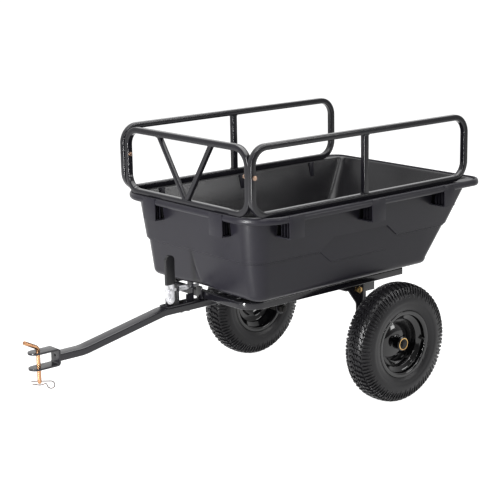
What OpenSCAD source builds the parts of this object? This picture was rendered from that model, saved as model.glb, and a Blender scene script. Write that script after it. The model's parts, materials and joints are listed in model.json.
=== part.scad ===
// Tow-behind dump cart: a plastic bin on a hinged tube frame, two pneumatic wheels and a drawbar.
// Frame: +X is the cart's left side, -Y is the hitch end, +Z is up. The origin is on the ground,
// under the middle of the cart. All sizes are in millimetres.

/* [Overall] */
// Length from the tip of the hitch pin's handle to the back of the bin's rim
overall_length = 1640; // [1600:5:1680]
// Distance from the axle back to the bin's rim
rear_overhang = 435; // [425:5:450]
// Height of the bin's flange, where the rack stands
flange_z = 698; // [690:1:705]

/* [Wheels] */
// Diameter of the tyre
tyre_d = 406; // [396:2:410]
// Width of the tyre
tyre_w = 103; // [98:1:106]
// Distance between the middles of the two wheels
track = 738; // [730:2:750]
// Diameter of the stub axles
axle_d = 19; // [16:1:20]

/* [Bin] */
// Width over the bin's rim
rim_w = 752; // [748:2:760]
// Width of the bin's cavity at the top
mouth_w = 636; // [630:2:640]
// Thickness of the bin's walls
wall_t = 4; // [3:0.5:5]
// Height of the rolled skirt round the rim
skirt_h = 22; // [18:1:26]

/* [Rack] */
// Side of the rack's square tube
rack_tube = 20; // [18:1:20]
// Height of the side loops above the flange
rack_h = 231; // [200:1:250]
// Length of the side loops
rack_l = 974; // [960:2:980]
// Outer radius of the loops' corners
rack_r = 66; // [40:1:70]

/* [Frame] */
// Side of the bin frame's square tube
frame_tube = 24; // [22:1:25]
// Height of the dump pivot above the ground
pivot_z = 355; // [352:1:357]
// Width of the drawbar
drawbar_w = 44; // [40:2:50]
// Height of the drawbar
drawbar_h = 24; // [22:1:26]
// Diameter of the hitch pin
pin_d = 12.7; // [12:0.1:13]

/* [Hidden] */
$fn = 48;
sides = [-1, 1];
gap = 0.3;
eps = 0.01;

// Places along the cart
axle_y = overall_length / 2 - rear_overhang;
rim_back = overall_length / 2;
rim_front = axle_y - 600;
rack_front = axle_y - 591;
pin_y = 50 - overall_length / 2;
clevis_web_y = axle_y - 1096;
lower_bend_y = axle_y - 1000;
upper_bend_y = axle_y - 690;
pivot_y = axle_y - 14;
drawbar_end_y = axle_y - 67;
frame_front = axle_y - 528;
frame_back = axle_y + 166;
lever_y = axle_y - 661;

// Heights
axle_z = tyre_d / 2;
floor_z = 416;
strap_t = 10;
strap_z = floor_z - strap_t;
frame_z = strap_z - frame_tube;
drawbar_z = 356;
drawbar_top = drawbar_z + drawbar_h;
clevis_z = 281;
clevis_h = 55;
clevis_t = 6;
rod_z = 430;
lever_pivot_z = 403;

// Widths
frame_half = 243;
member_w = 25;
leg_x = 204;
leg_t = 6;
hanger_x = 190;
hub_half = 39;
wheel_x = track / 2;
axle_end = wheel_x + hub_half + 5;
collar_x = leg_x + leg_t;

// Hitch pin's clip: height of its hole, turn about the pin, radius of the wire
clip_z = clevis_z - 40;
clip_turn = 50;
clip_wire = 1.6;

// Dump latch
bracket_t = 4;
bracket_top = drawbar_top + bracket_t;
ear_x = 1;
ear_t = 5;
lever_x = 7;
lever_t = 6;
front_upright_y = axle_y - 632;
rear_upright_y = axle_y - 573;
upright_t = 4;
collar_y = axle_y - 591;
collar_t = 6;
rod_tip_y = axle_y - 538;

// Bin sections from the floor up: height, half width, front, back, front corner radius, rear corner radius
bin_low = [
    [floor_z, 266, axle_y - 508, axle_y + 233, 40, 30],
    [floor_z + 3, 276, axle_y - 518, axle_y + 243, 44, 34],
    [floor_z + 10, 284, axle_y - 526, axle_y + 251, 48, 36],
    [floor_z + 22, 287, axle_y - 530, axle_y + 256, 50, 38],
    [540, 293, axle_y - 546, axle_y + 336, 60, 42]
];
bin_high = [
    [540, 293, axle_y - 546, axle_y + 336, 60, 42],
    [548, 300, axle_y - 553, axle_y + 345, 62, 42],
    [flange_z - 0.02, mouth_w / 2 + wall_t, axle_y - 572, axle_y + 423, 80, 26]
];
rack_x = 320.5;
front_rack_y = rack_front + 4;
corner_bolt_y = front_rack_y + 7.5;
corner_bolt_z = flange_z + 133;
side_screw_x = rack_x + rack_tube / 2;
side_screw_ys = [rack_front + 250, rack_front + 430, rack_front + 750];
front_screw_y = front_rack_y + 7;
front_screw_xs = [-100, 100];
rack_screw_spots = concat(
    [for (side = sides) for (y = side_screw_ys) [side * side_screw_x, y]],
    [for (x = front_screw_xs) [x, front_screw_y]]
);
rim_corner_front = 110;
rim_corner_back = 56;

// Lugs under the rim: start and end along the rim
lug_z = 628;
lug_wall = 4;
lug_x = 309;
lug_front_y = axle_y - 561;
floor_top = floor_z + 5;
side_lugs = [[axle_y - 470, axle_y - 410], [axle_y - 114, axle_y - 54], [axle_y + 229, axle_y + 279]];
front_lugs = [[-206, -141], [141, 206]];
gusset_bolt_spots = [[0, drawbar_end_y - 40], [-60, drawbar_end_y + 12], [60, drawbar_end_y + 12]];
bracket_bolt_ys = [axle_y - 612, axle_y - 584];
floor_bolt_spots = [for (x = [-170, 170]) for (y = [axle_y - 422, axle_y + 98]) [x, y]];

// ---------- shared shapes ----------

// A rectangle from (x0, y0) to (x1, y1) with its own radius at the low-y and the high-y corners
module corner_plate(x0, y0, x1, y1, r_low, r_high) {
    translate([x0 + r_low, y0]) square([x1 - x0 - 2 * r_low, r_low + eps]);
    translate([x0, y0 + r_low]) square([x1 - x0, y1 - y0 - r_low - r_high]);
    translate([x0 + r_high, y1 - r_high - eps]) square([x1 - x0 - 2 * r_high, r_high + eps]);
    for (x = [x0 + r_low, x1 - r_low]) translate([x, y0 + r_low]) circle(r_low);
    for (x = [x0 + r_high, x1 - r_high]) translate([x, y1 - r_high]) circle(r_high);
}

// A flat slice of the bin, shrunk by inset
module bin_slice(s, inset, t = 0.02) {
    translate([0, 0, s[0]]) linear_extrude(t)
        corner_plate(inset - s[1], s[2] + inset, s[1] - inset, s[3] - inset, s[4] - inset, s[5] - inset);
}

// The same slice at another height
function at_height(s, z) = [z, s[1], s[2], s[3], s[4], s[5]];

// The solid between a list of slices
module bin_body(slices, inset) {
    hull() for (s = slices) bin_slice(s, inset, $fn = 32);
}

// A closed loop of square tube, lying in the XY plane
module tube_loop(w, l, tube, r) {
    linear_extrude(tube) difference() {
        corner_plate(0, 0, w, l, r, r);
        corner_plate(tube, tube, w - tube, l - tube, r - tube, r - tube);
    }
}

// A cylinder along X between two places
module rod_x(x0, x1, r) {
    translate([x0, 0, 0]) rotate([0, 90, 0]) cylinder(h = x1 - x0, r = r);
}

// A cylinder along Y between two places
module rod_y(y0, y1, r) {
    translate([0, y0, 0]) rotate([-90, 0, 0]) cylinder(h = y1 - y0, r = r);
}

// A hexagon prism along X between two places, r is half its width across the flats
module hex_x(x0, x1, r) {
    translate([x0, 0, 0]) rotate([0, 90, 0]) cylinder(h = x1 - x0, r = r / cos(30), $fn = 6);
}

// A hexagon prism along Z
module hex_z(z0, z1, r) {
    translate([0, 0, z0]) cylinder(h = z1 - z0, r = r / cos(30), $fn = 6);
}

// A plate normal to X, drawn in Y (across) and Z (up)
module plate_x(x0, t) {
    translate([x0, 0, 0]) rotate([90, 0, 90]) linear_extrude(t) children();
}

// A ring about the X axis, drawn as [x, r] points
module turn_x(points) {
    rotate([0, 90, 0]) rotate_extrude($fn = 96) polygon([for (q = points) [q[1], q[0]]]);
}

// Puts a copy on the given side: side 1 is the left wheel, side -1 the right one
module on_side(side) {
    if (side > 0) children();
    else mirror([1, 0, 0]) children();
}

// ---------- bin and its frame ----------

// A hollow block under the flange with a web in its middle, open at both ends.
// It stands on the XZ plane: w runs along X and depth along Y, away from the wall.
module lug(w, depth) {
    web = 16;
    pocket = (w - web) / 2;
    height = flange_z - lug_z - 1;
    difference() {
        cube([w, depth, height]);
        for (x = [-eps, w - pocket]) translate([x, -eps, lug_wall])
            cube([pocket + eps, depth - lug_wall, height]);
    }
}

module bin_lugs() {
    side_depth = rim_w / 2 - lug_x;
    front_depth = lug_front_y - rim_front;
    for (side = sides) on_side(side) for (s = side_lugs)
        translate([lug_x, s[1], lug_z]) rotate([0, 0, -90]) lug(s[1] - s[0], side_depth);
    for (s = front_lugs)
        translate([s[1], lug_front_y, lug_z]) rotate([0, 0, 180]) lug(s[1] - s[0], front_depth);
}

module rim_outline(inset) {
    corner_plate(inset - rim_w / 2, rim_front + inset, rim_w / 2 - inset, rim_back - inset,
        rim_corner_front - inset, rim_corner_back - inset);
}

module bin() {
    color([0.16, 0.16, 0.17]) difference() {
        union() {
            bin_body(bin_low, 0);
            bin_body(bin_high, 0);
            bin_lugs();
            translate([0, 0, flange_z - wall_t]) linear_extrude(wall_t) rim_outline(0);
            translate([0, 0, flange_z + 4 - skirt_h]) linear_extrude(skirt_h)
                difference() {
                    rim_outline(0);
                    rim_outline(wall_t);
                }
        }
        bin_body([for (s = bin_low) at_height(s, max(s[0], floor_top))], wall_t);
        bin_body([for (s = bin_high) at_height(s, s[0] > 600 ? flange_z + 1 : s[0])], wall_t);
        for (q = floor_bolt_spots) translate([q[0], q[1], floor_z - 1]) cylinder(h = 8, r = 4.2);
        for (q = rack_screw_spots) translate([q[0], q[1], flange_z - 5]) cylinder(h = 6, r = 4.1);
    }
}

module bin_frame() {
    r = 66;
    color([0.09, 0.09, 0.10]) difference() {
        translate([0, 0, frame_z]) linear_extrude(frame_tube) difference() {
            u_outline(frame_half, frame_front, r);
            u_outline(frame_half - frame_tube, frame_front + frame_tube, r - frame_tube);
        }
        for (side = sides) on_side(side)
            translate([frame_half - frame_tube + 2.5, frame_back - 30, frame_z + 2.5])
            cube([frame_tube - 5, 31, frame_tube - 5]);
    }
}

module u_outline(half, front, r) {
    translate([-half, front + r]) square([2 * half, frame_back - front - r]);
    translate([r - half, front]) square([2 * (half - r), r + eps]);
    for (side = sides) translate([side * (half - r), front + r]) circle(r);
}

// A straight tube across the frame, open at both ends
module open_tube(half, y0, z0, depth, height) {
    translate([-half, y0, z0]) difference() {
        cube([2 * half, depth, height]);
        translate([-1, 2.5, 2.5]) cube([2 * half + 2, depth - 5, height - 5]);
    }
}

// Beam between the hangers, under the rear cross member
module pivot_beam() {
    color([0.09, 0.09, 0.10]) open_tube(hanger_x, axle_y + 38, pivot_z - 18, 39, 25);
}

module front_cross_member() {
    color([0.09, 0.09, 0.10]) cross_strap(axle_y - 442);
}

module rear_cross_member() {
    color([0.09, 0.09, 0.10]) cross_strap(axle_y + 78);
}

// Flat bar on top of the frame's rails, bolted to the bin's floor
module cross_strap(y0) {
    difference() {
        translate([-frame_half, y0, strap_z]) cube([2 * frame_half, 40, strap_t]);
        for (q = floor_bolt_spots) translate([q[0], q[1], strap_z - 1]) cylinder(h = strap_t + 2, r = 4.2);
    }
}

// Plate from the pivot bolt back to the beam and up to the rear cross member
module hanger() {
    r = 18;
    difference() {
        plate_x(hanger_x, leg_t) union() {
            translate([pivot_y, pivot_z]) circle(r);
            polygon([
                [pivot_y, pivot_z - r], [axle_y + 77, pivot_z - r], [axle_y + 77, 375],
                [axle_y + 105, strap_z - 8], [axle_y + 105, strap_z], [axle_y + 60, strap_z],
                [pivot_y, pivot_z + r]
            ]);
        }
        translate([0, pivot_y, pivot_z]) rod_x(hanger_x - 1, hanger_x + leg_t + 1, 6);
    }
}

module pivot_hanger_left() { color([0.10, 0.10, 0.11]) on_side(1) hanger(); }
module pivot_hanger_right() { color([0.10, 0.10, 0.11]) on_side(-1) hanger(); }

module pivot_bolts() {
    color([0.78, 0.62, 0.35]) for (side = sides) on_side(side) translate([0, pivot_y, pivot_z]) {
        rod_x(hanger_x - 14, collar_x + 0.3, 6);
        hex_x(collar_x + 0.3, collar_x + 8, 9.5);
    }
}

module pivot_washers() {
    color([0.72, 0.72, 0.72]) for (side = sides) on_side(side) translate([0, pivot_y, pivot_z])
        difference() {
            rod_x(hanger_x + leg_t, leg_x - 0.1, 12);
            rod_x(hanger_x, leg_x + 1, 6.02);
        }
}

module pivot_nuts() {
    color([0.78, 0.62, 0.35]) for (side = sides) on_side(side) translate([0, pivot_y, pivot_z])
        difference() {
            hex_x(hanger_x - 11, hanger_x, 9.5);
            rod_x(hanger_x - 12, hanger_x + 1, 6.02);
        }
}

module bin_bolts() {
    color([0.72, 0.72, 0.72]) for (q = floor_bolt_spots) translate([q[0], q[1], 0]) {
        translate([0, 0, strap_z - 9]) cylinder(h = floor_top - strap_z + 9, r = 4);
        translate([0, 0, floor_top]) cylinder(h = 3, r1 = 10, r2 = 6);
        difference() {
            hex_z(strap_z - 8, strap_z, 6.5);
            translate([0, 0, strap_z - 9]) cylinder(h = 10, r = 4);
        }
    }
}

// Plate on the frame's front tube: the latch rod goes over its top edge
module latch_keeper() {
    plate_y = frame_front - 9;
    color([0.10, 0.10, 0.11]) union() {
        translate([-14, plate_y, frame_z]) cube([28, 5, rod_z - 5.6 - frame_z]);
        translate([-14, plate_y + 4, frame_z]) cube([28, 5, frame_tube - 2]);
    }
}

// ---------- rack round the bin ----------

module side_rack() {
    difference() {
        union() {
            translate([rack_x, rack_front, flange_z]) rotate([90, 0, 90])
                tube_loop(rack_l, rack_h, rack_tube, rack_r);
            translate([rack_x, rack_front + rack_l / 2 - rack_tube / 2, flange_z + rack_tube])
                cube([rack_tube, rack_tube, rack_h - 2 * rack_tube]);
        }
        translate([0, corner_bolt_y, corner_bolt_z]) rod_x(rack_x - 1, rack_x + rack_tube + 1, 4.1);
        for (y = side_screw_ys) translate([side_screw_x, y, flange_z - 1]) cylinder(h = 15, r = 4.1);
    }
}

module side_rack_left() { color([0.09, 0.09, 0.10]) on_side(1) side_rack(); }
module side_rack_right() { color([0.09, 0.09, 0.10]) on_side(-1) side_rack(); }

module front_rack() {
    color([0.09, 0.09, 0.10]) difference() {
        translate([-rack_x, front_rack_y + rack_tube, flange_z]) rotate([90, 0, 0])
            tube_loop(2 * rack_x, rack_h - 4, rack_tube, rack_r);
        translate([0, corner_bolt_y, corner_bolt_z])
            for (side = sides) on_side(side) rod_x(rack_x - rack_tube - 1, rack_x + 1, 4.1);
        for (x = front_screw_xs) translate([x, front_screw_y, flange_z - 1]) cylinder(h = 15, r = 4.1);
    }
}

module front_brace() {
    bar = 16;
    low = flange_z + rack_tube;
    high = flange_z + rack_h - 4 - rack_tube;
    color([0.09, 0.09, 0.10]) translate([0, front_rack_y + 18, 0]) rotate([90, 0, 0]) linear_extrude(bar)
        for (side = sides) scale([side, 1])
            polygon([[0, low], [12, low], [144, high], [126, high], [0, low + 24]]);
}

module rack_corner_bolts() {
    color([0.78, 0.62, 0.35]) for (side = sides) on_side(side)
        translate([0, corner_bolt_y, corner_bolt_z]) {
            rod_x(rack_x - rack_tube - 7.5, rack_x + rack_tube, 4);
            rod_x(rack_x + rack_tube, rack_x + rack_tube + 4.5, 7.5);
        }
}

module rack_corner_nuts() {
    color([0.78, 0.62, 0.35]) for (side = sides) on_side(side)
        translate([0, corner_bolt_y, corner_bolt_z]) difference() {
            hex_x(rack_x - rack_tube - 6.5, rack_x - rack_tube, 6.5);
            rod_x(rack_x - rack_tube - 8, rack_x - rack_tube + 1, 4);
        }
}

module rack_screws() {
    color([0.2, 0.2, 0.2]) for (q = rack_screw_spots) translate([q[0], q[1], 0]) rack_screw();
}

module rack_screw() {
    translate([0, 0, flange_z - wall_t - 0.01]) cylinder(h = wall_t + 13, r = 4);
    hex_z(flange_z - wall_t - 5, flange_z - wall_t, 6.5);
}

// ---------- drawbar, hitch and axle legs ----------

// The arc of a bend in the drawbar's side view: centre, radius, first and last angle
function arc(c, r, a0, a1) = [for (i = [0:8]) let (a = a0 + (a1 - a0) * i / 8)
    [c[0] + r * cos(a), c[1] + r * sin(a)]];

// Side view of the drawbar: level, rising, level, with an arc of radius r at each bend
module drawbar_side(inset) {
    past = inset > 0 ? 1 : 0;
    front = clevis_web_y + clevis_t - past;
    back = drawbar_end_y + past;
    low = 294 + inset;
    high = drawbar_z + inset;
    t = drawbar_h - 2 * inset;
    r = 150;
    slope = atan2(high - low, upper_bend_y - lower_bend_y);
    half_arc = r * tan(slope / 2);
    bend1 = [lower_bend_y - half_arc, low + r + t];
    bend2 = [upper_bend_y + half_arc, high - r];
    polygon(concat(
        [[front, low]], arc(bend1, r + t, -90, slope - 90), arc(bend2, r, 90 + slope, 90),
        [[back, high]], [[back, high + t]],
        arc(bend2, r + t, 90, 90 + slope), arc(bend1, r, slope - 90, -90), [[front, low + t]]
    ));
}

module gusset_bolt_holes() {
    for (q = gusset_bolt_spots) translate([q[0], q[1], drawbar_z - 6]) cylinder(h = drawbar_h + 7, r = 5.1);
}

module drawbar() {
    color([0.10, 0.10, 0.11]) difference() {
        plate_x(-drawbar_w / 2, drawbar_w) drawbar_side(0);
        plate_x(2.5 - drawbar_w / 2, drawbar_w - 5) drawbar_side(2.5);
        bracket_bolt_holes();
        gusset_bolt_holes();
    }
}

// Side view of the clevis: a channel open to the front, with rounded folds at the back
module channel(front, back) {
    r = 10;
    top = clevis_z + clevis_h;
    difference() {
        union() {
            translate([front, clevis_z]) square([back - r - front, clevis_h]);
            translate([back - 2 * r, clevis_z + r]) square([2 * r, clevis_h - 2 * r]);
            for (z = [clevis_z + r, top - r]) translate([back - r, z]) circle(r);
        }
        translate([front - 1, clevis_z + clevis_t])
            square([back - clevis_t - 3 - front, clevis_h - 2 * clevis_t]);
        translate([back - clevis_t - 5, clevis_z + clevis_t + 4]) square([5, clevis_h - 2 * clevis_t - 8]);
        for (z = [clevis_z + clevis_t + 4, top - clevis_t - 4]) translate([back - clevis_t - 4, z]) circle(4);
    }
}

// A folded steel channel with round noses
module hitch_clevis() {
    nose = drawbar_w / 2 + 1;
    nose_y = pin_y - 10;
    back = clevis_web_y + clevis_t;
    color([0.12, 0.12, 0.13]) difference() {
        intersection() {
            plate_x(-nose - 1, 2 * nose + 2) channel(nose_y - nose - 1, back);
            translate([0, 0, clevis_z - 1]) linear_extrude(clevis_h + 2) union() {
                translate([0, nose_y]) circle(nose);
                translate([-nose, nose_y]) square([2 * nose, back + 1 - nose_y]);
            }
        }
        translate([0, pin_y, clevis_z - 1]) cylinder(h = clevis_h + 2, r = pin_d / 2 + 0.05);
        translate([0, 0, clevis_z + clevis_h / 2 + 2]) rod_y(clevis_web_y - 1, back + 1, 4);
    }
}

module cross_tube() {
    color([0.10, 0.10, 0.11]) difference() {
        open_tube(leg_x, drawbar_end_y, drawbar_z, member_w, drawbar_h);
        gusset_bolt_holes();
    }
}

// Plate that ties the drawbar to the front cross tube
module gusset_plate() {
    color([0.10, 0.10, 0.11]) difference() {
        translate([0, 0, drawbar_z - 5]) linear_extrude(5) polygon([
            [-22, drawbar_end_y - 90], [22, drawbar_end_y - 90], [90, drawbar_end_y],
            [90, drawbar_end_y + member_w], [-90, drawbar_end_y + member_w], [-90, drawbar_end_y]
        ]);
        gusset_bolt_holes();
    }
}

module gusset_bolts() {
    color([0.72, 0.72, 0.72]) for (q = gusset_bolt_spots) translate([q[0], q[1], 0]) {
        translate([0, 0, drawbar_z - 6]) cylinder(h = drawbar_h + 7, r = 5);
        hex_z(drawbar_z - 11, drawbar_z - 5, 8);
        hex_z(drawbar_top, drawbar_top + 6, 8);
    }
}

// Leg that carries the stub axle: narrow at the axle, flared forward to the cross tube
module leg() {
    foot = 22;
    difference() {
        plate_x(leg_x, leg_t) translate([axle_y, 0]) union() {
            translate([0, axle_z]) circle(foot);
            polygon([
                [-foot, axle_z], [foot, axle_z], [foot, drawbar_top], [-92, drawbar_top],
                [-92, drawbar_z + 13], [-76, drawbar_z + 8], [-60, drawbar_z + 1], [-24, 310], [-foot, 303]
            ]);
        }
        translate([0, pivot_y, pivot_z]) rod_x(leg_x - 1, leg_x + leg_t + 1, 6.05);
        translate([0, axle_y, axle_z]) rod_x(leg_x - 1, leg_x + leg_t + 1, axle_d / 2);
    }
}

module axle_leg_left() { color([0.10, 0.10, 0.11]) on_side(1) leg(); }
module axle_leg_right() { color([0.10, 0.10, 0.11]) on_side(-1) leg(); }

module stub_axle() {
    translate([0, axle_y, axle_z]) difference() {
        union() {
            rod_x(leg_x - 20, axle_end, axle_d / 2);
            rod_x(collar_x, collar_x + 10, 17);
        }
        difference() {
            rod_x(axle_end - 3.4, axle_end - 2, axle_d);
            rod_x(axle_end - 4, axle_end, axle_d / 2 - 1.5);
        }
    }
}

module stub_axle_left() { color([0.45, 0.45, 0.46]) on_side(1) stub_axle(); }
module stub_axle_right() { color([0.45, 0.45, 0.46]) on_side(-1) stub_axle(); }

module axle_nuts() {
    color([0.78, 0.62, 0.35]) for (side = sides) on_side(side) translate([0, axle_y, axle_z]) difference() {
        hex_x(leg_x - 15, leg_x, 14);
        rod_x(leg_x - 16, leg_x + 1, axle_d / 2);
    }
}

module axle_spacers() {
    color([0.3, 0.3, 0.3]) for (side = sides) on_side(side) translate([0, axle_y, axle_z]) difference() {
        rod_x(collar_x + 10, wheel_x - hub_half - 2, 14);
        rod_x(collar_x, wheel_x, axle_d / 2);
    }
}

// Spring clips in the grooves at the axle ends
module axle_clips() {
    color([0.72, 0.72, 0.72]) for (side = sides) on_side(side) translate([0, axle_y, axle_z]) difference() {
        rod_x(axle_end - 3.3, axle_end - 2.1, axle_d / 2 + 3);
        rod_x(axle_end - 4, axle_end, axle_d / 2 - 1.5);
        translate([axle_end - 4, -4, -20]) cube([4, 8, 20]);
    }
}

// ---------- dump latch ----------

module upright(y) {
    difference() {
        translate([-14, y, bracket_top]) cube([28, upright_t, 62]);
        translate([0, 0, rod_z]) rod_y(y - 1, y + upright_t + 1, 5.05);
    }
}

module bracket_bolt_holes() {
    for (y = bracket_bolt_ys) translate([0, y, drawbar_z - 1])
        cylinder(h = drawbar_h + bracket_t + 2, r = 4.1);
}

module latch_bracket() {
    color([0.13, 0.13, 0.14]) union() {
        difference() {
            translate([-drawbar_w / 2, axle_y - 682, drawbar_top])
                cube([drawbar_w, 131, bracket_t]);
            bracket_bolt_holes();
        }
        upright(front_upright_y);
        upright(rear_upright_y);
        translate([10, rear_upright_y - 26, bracket_top]) cube([4, 26, 26]);
        difference() {
            plate_x(ear_x, ear_t) union() {
                translate([lever_y, lever_pivot_z]) circle(14);
                translate([lever_y - 14, bracket_top]) square([28, lever_pivot_z - bracket_top]);
            }
            translate([0, lever_y, lever_pivot_z]) rod_x(ear_x - 1, ear_x + ear_t + 1, 5);
        }
    }
}

module latch_bracket_bolts() {
    color([0.72, 0.72, 0.72]) for (y = bracket_bolt_ys) translate([0, y, 0]) {
        translate([0, 0, drawbar_z - 7]) cylinder(h = bracket_top - drawbar_z + 7, r = 4);
        hex_z(bracket_top, bracket_top + 5, 6.5);
        hex_z(drawbar_z - 6, drawbar_z, 6.5);
    }
}

// Rubber pad that carries the front of the frame
module rest_pad() {
    color([0.05, 0.05, 0.05]) translate([-18, frame_front, drawbar_top])
        cube([36, frame_tube, frame_z - drawbar_top - gap]);
}

module latch_pivot_bolt() {
    color([0.72, 0.72, 0.72]) translate([0, lever_y, lever_pivot_z]) {
        rod_x(ear_x - 6, lever_x + lever_t + 0.5, 5);
        hex_x(lever_x + lever_t + 0.5, lever_x + lever_t + 5.5, 8);
        hex_x(ear_x - 6, ear_x, 8);
    }
}

// Flat bar with a round foot on the pivot, and a slot for the rod's cross bolt
module latch_lever() {
    w = 30;
    top = 545;
    color([0.80, 0.80, 0.80]) difference() {
        plate_x(lever_x, lever_t) translate([lever_y, 0]) union() {
            translate([0, lever_pivot_z]) circle(w / 2);
            translate([0, top - w / 2]) circle(w / 2);
            translate([-w / 2, lever_pivot_z]) square([w, top - w / 2 - lever_pivot_z]);
        }
        translate([0, lever_y, lever_pivot_z]) rod_x(lever_x - 1, lever_x + lever_t + 1, 5.05);
        plate_x(lever_x - 1, lever_t + 2) translate([lever_y, 0]) union() {
            for (z = [rod_z, rod_z + 5]) translate([0, z]) circle(5.9);
            translate([-5.9, rod_z]) square([11.8, 5]);
        }
    }
}

module lever_grip() {
    w = 34;
    low = 453;
    top = 550;
    color([0.05, 0.05, 0.05]) difference() {
        plate_x(lever_x - 2.5, lever_t + 5) translate([lever_y, 0]) union() {
            translate([0, top - w / 2]) circle(w / 2);
            translate([-w / 2, low]) square([w, top - w / 2 - low]);
        }
        plate_x(lever_x, lever_t) translate([lever_y, 0]) union() {
            translate([0, 530]) circle(15);
            translate([-15, low - 1]) square([30, 530 - low + 1]);
        }
    }
}

// Sliding rod: its tip goes over the keeper when the lever is pushed home
module latch_rod() {
    color([0.80, 0.80, 0.80]) difference() {
        translate([0, 0, rod_z]) union() {
            rod_y(lever_y - 10, rod_tip_y - 2, 5);
            translate([0, rod_tip_y - 2, 0]) rotate([-90, 0, 0]) cylinder(h = 2, r1 = 5, r2 = 3.5);
            rod_y(collar_y, collar_y + collar_t, 8.5);
        }
        translate([0, lever_y, rod_z]) rod_x(-6, 6, 4);
    }
}

module latch_cross_bolt() {
    color([0.72, 0.72, 0.72]) translate([0, lever_y, rod_z]) {
        rod_x(-11, lever_x + lever_t + 0.8, 4);
        rod_x(lever_x + lever_t + 0.8, lever_x + lever_t + 5, 7.5);
        hex_x(-11, -5.2, 6.5);
    }
}

// A ring of points round the spring wire at one place along the coil
function wire_ring(i, r, wire, pitch, n) = let (a = 360 * i / 12, y = pitch * i / 12)
    [for (k = [0:n - 1]) let (b = 360 * k / n, q = r + wire * cos(b))
        [q * cos(a), y + wire * sin(b), q * sin(a)]];

module latch_spring() {
    turns = 6;
    wire = 1.2;
    n = 8;
    rings = turns * 12;
    y0 = front_upright_y + upright_t + wire + 0.2;
    y1 = collar_y - wire - 0.2;
    pts = [for (i = [0:rings]) each wire_ring(i, 7.2, wire, (y1 - y0) / turns, n)];
    walls = [for (i = [0:rings - 1]) for (k = [0:n - 1]) [
        i * n + k, i * n + (k + 1) % n, (i + 1) * n + (k + 1) % n, (i + 1) * n + k]];
    ends = [[for (k = [n - 1:-1:0]) k], [for (k = [0:n - 1]) rings * n + k]];
    color([0.80, 0.80, 0.80]) translate([0, y0, rod_z]) polyhedron(pts, concat(walls, ends), convexity = 8);
}

// ---------- hitch pin and clip ----------

module hitch_pin() {
    r = pin_d / 2;
    bend_z = clevis_z + clevis_h + 11;
    tail = 53.3;
    color([0.80, 0.60, 0.40]) difference() {
        translate([0, pin_y, 0]) union() {
            translate([0, 0, clip_z - 4]) cylinder(h = bend_z - clip_z + 4, r = r);
            translate([0, 0, clip_z - 8]) cylinder(h = 4, r1 = r - 2.5, r2 = r);
            translate([0, 0, bend_z]) sphere(r + 0.1);
            translate([0, 0, bend_z]) rotate([62, 0, 0]) cylinder(h = tail, r = r);
        }
        translate([0, pin_y, clip_z]) rotate([0, 0, clip_turn]) rod_x(-20, 20, clip_wire + 0.35);
    }
}

// Direction of a path of [x, z] points at its point i
function heading(path, i) =
    let (d = path[min(i + 1, len(path) - 1)] - path[max(i - 1, 0)]) d / norm(d);

// A ring of n points round a path of [x, z] points
function path_ring(path, i, wire, n) = let (t = heading(path, i))
    [for (k = [0:n - 1]) let (b = 360 * k / n, a = wire * cos(b))
        [path[i][0] - t[1] * a, -wire * sin(b), path[i][1] + t[0] * a]];

// Spring clip: a straight leg through the pin, a round eye and a second leg under the pin's end
module r_clip() {
    n = 10;
    eye = 11.5;
    leg_end = 34;
    lower_leg = [
        [21, -8.9], [17, -7.6], [12, -9.8], [7, -11.6], [0, -12.2],
        [-7, -11.6], [-13, -9.9], [-18, -9.6], [-22, -12]
    ];
    path = concat(
        [for (x = [-25, 0, 22, leg_end - 3]) [x, clip_z]],
        [for (a = [82:-12:-170]) [leg_end + eye * cos(a), clip_z - eye + eye * sin(a)]],
        [for (q = lower_leg) [q[0], clip_z + q[1]]]
    );
    last = len(path) - 1;
    pts = [for (i = [0:last]) each path_ring(path, i, clip_wire, n)];
    walls = [for (i = [0:last - 1]) for (k = [0:n - 1]) [
        i * n + k, i * n + (k + 1) % n, (i + 1) * n + (k + 1) % n, (i + 1) * n + k]];
    ends = [[for (k = [n - 1:-1:0]) k], [for (k = [0:n - 1]) last * n + k]];
    color([0.62, 0.62, 0.64]) translate([0, pin_y, 0]) rotate([0, 0, clip_turn])
        polyhedron(pts, concat(walls, ends), convexity = 8);
}

// ---------- wheels ----------

module wheel_place(side) {
    on_side(side) translate([wheel_x, axle_y, axle_z]) children();
}

module tyre() {
    r = tyre_d / 2;
    h = tyre_w / 2;
    turn_x([
        [-20, r - 1], [20, r - 1], [33, r - 6], [42, r - 17], [h - 3, r - 33], [h, r - 50], [h - 3, r - 68],
        [44, r - 84], [40.5, r - 88], [40, 102.2], [30, 102.2], [31, 110], [h - 9, 124], [h - 6, 150],
        [38, 178], [20, 191], [-20, 191], [-38, 178], [6 - h, 150], [9 - h, 124], [-31, 110], [-30, 102.2],
        [-40, 102.2], [-40.5, r - 88], [-44, r - 84], [3 - h, r - 68], [-h, r - 50], [3 - h, r - 33],
        [-42, r - 17], [-33, r - 6]
    ]);
    turn_x([[-12, r - 2], [12, r - 2], [8, r], [-8, r]]);
}

module inner_tube() {
    difference() {
        turn_x([[-18, 190], [18, 190], [36, 177], [42, 150], [39, 126], [26, 107], [-26, 107], [-39, 126],
            [-42, 150], [-36, 177]]);
        turn_x([[-17, 187], [17, 187], [33, 175], [39, 150], [36, 128], [24, 110], [-24, 110], [-36, 128],
            [-39, 150], [-33, 175]]);
    }
}

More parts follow.
